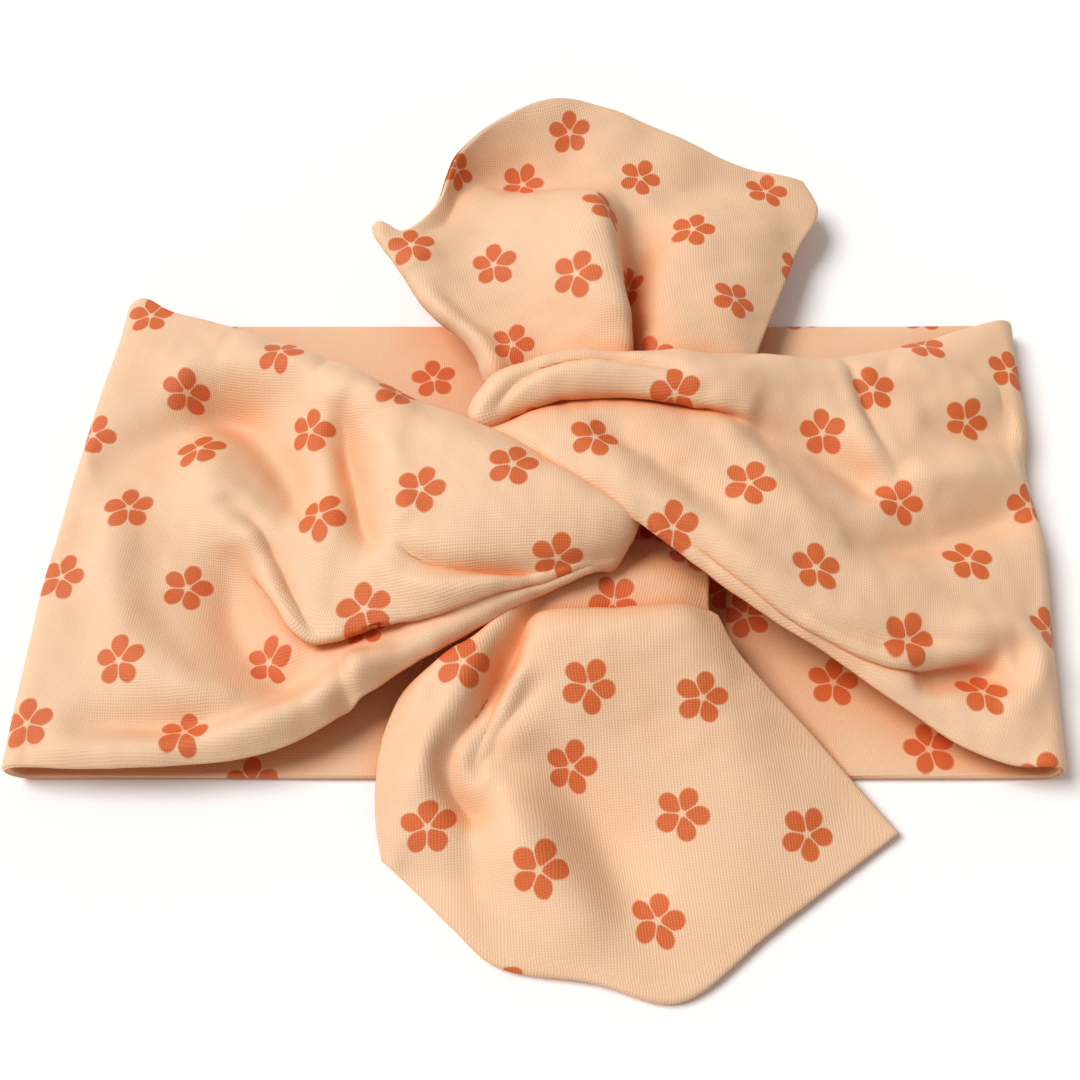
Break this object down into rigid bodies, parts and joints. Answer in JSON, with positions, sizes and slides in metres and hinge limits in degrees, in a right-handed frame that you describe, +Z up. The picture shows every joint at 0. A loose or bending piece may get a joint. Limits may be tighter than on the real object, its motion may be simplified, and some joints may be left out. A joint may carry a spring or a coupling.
{
  "type": "knotted headband",
  "caption": "Wide stretch-knit headband lying flattened, its double-layer strap crossed in a half knot at the front with a free tail above and below.",
  "frame": {"origin": "on the table, on the back band's underside, under the middle of the knot", "axes": "+X along the flattened loop, +Y from the bottom tail to the top tail, +Z up from the table through the knot"},
  "size_m": [0.2454, 0.2354, 0.0313],
  "materials": {
    "knit_face": "soft brushed stretch knit with a printed pattern of small five-petal flowers",
    "knit_lining": "the same printed knit, on the side that faces the head",
    "knit_edge": "turned and sewn edge of the same knit"
  },
  "bodies": {
    "back_centre": {"back_centre_face": "knit_face", "back_centre_lining": "knit_lining", "back_centre_near_seam": "knit_edge", "back_centre_far_seam": "knit_edge"},
    "back_left": {"back_left_face": "knit_face", "back_left_lining": "knit_lining", "back_left_near_seam": "knit_edge", "back_left_far_seam": "knit_edge"},
    "back_right": {"back_right_face": "knit_face", "back_right_lining": "knit_lining", "back_right_near_seam": "knit_edge", "back_right_far_seam": "knit_edge"},
    "front_left": {"front_left_face": "knit_face", "front_left_lining": "knit_lining", "front_left_near_seam": "knit_edge", "front_left_far_seam": "knit_edge"},
    "front_right": {"front_right_face": "knit_face", "front_right_lining": "knit_lining", "front_right_near_seam": "knit_edge", "front_right_far_seam": "knit_edge"},
    "knot": {"left_wrap_face": "knit_face", "left_wrap_lining": "knit_lining", "left_wrap_outer_seam": "knit_edge", "right_wrap_face": "knit_face", "right_wrap_lining": "knit_lining", "right_wrap_outer_seam": "knit_edge", "left_tuck_face": "knit_face", "left_tuck_lining": "knit_lining", "right_tuck_face": "knit_face", "right_tuck_lining": "knit_lining"},
    "top_tail": {"top_tail_face": "knit_face", "top_tail_lining": "knit_lining", "top_tail_seam": "knit_edge"},
    "bottom_tail": {"bottom_tail_face": "knit_face", "bottom_tail_lining": "knit_lining", "bottom_tail_seam": "knit_edge"}
  },
  "joints": [
    {"name": "loop_open", "type": "hinge", "parent": "back_centre", "child": "back_left", "pos_m": [-0.042, 0, 0.0023], "axis": [0.0748, 0.9972, 0], "range_deg": [0, 60]},
    {"name": "left_fold", "type": "hinge", "parent": "back_left", "child": "front_left", "pos_m": [-0.118, 0, 0.0055], "axis": [-0.0748, -0.9972, 0], "range_deg": [0, 120]},
    {"name": "knot_left", "type": "hinge", "parent": "front_left", "child": "knot", "pos_m": [-0.042, 0, 0.0087], "axis": [0.0748, 0.9972, 0], "range_deg": [0, 60]},
    {"name": "knot_right", "type": "hinge", "parent": "knot", "child": "front_right", "pos_m": [0.042, 0, 0.0087], "axis": [0.0748, 0.9972, 0], "range_deg": [0, 60]},
    {"name": "right_fold", "type": "hinge", "parent": "front_right", "child": "back_right", "pos_m": [0.118, 0, 0.0055], "axis": [-0.0748, -0.9972, 0], "range_deg": [0, 120]},
    {"name": "top_tail_lift", "type": "hinge", "parent": "knot", "child": "top_tail", "pos_m": [0.01, 0.046, 0.0131], "axis": [1, 0, 0], "range_deg": [0, 75]},
    {"name": "bottom_tail_lift", "type": "hinge", "parent": "knot", "child": "bottom_tail", "pos_m": [0.003, -0.046, 0.0113], "axis": [-1, 0, 0], "range_deg": [0, 75]}
  ],
  "couplings": [
    {"joint": "left_fold", "follows": "loop_open", "ratio": 2},
    {"joint": "knot_left", "follows": "loop_open", "ratio": 1},
    {"joint": "knot_right", "follows": "loop_open", "ratio": 1},
    {"joint": "right_fold", "follows": "loop_open", "ratio": 2}
  ]
}
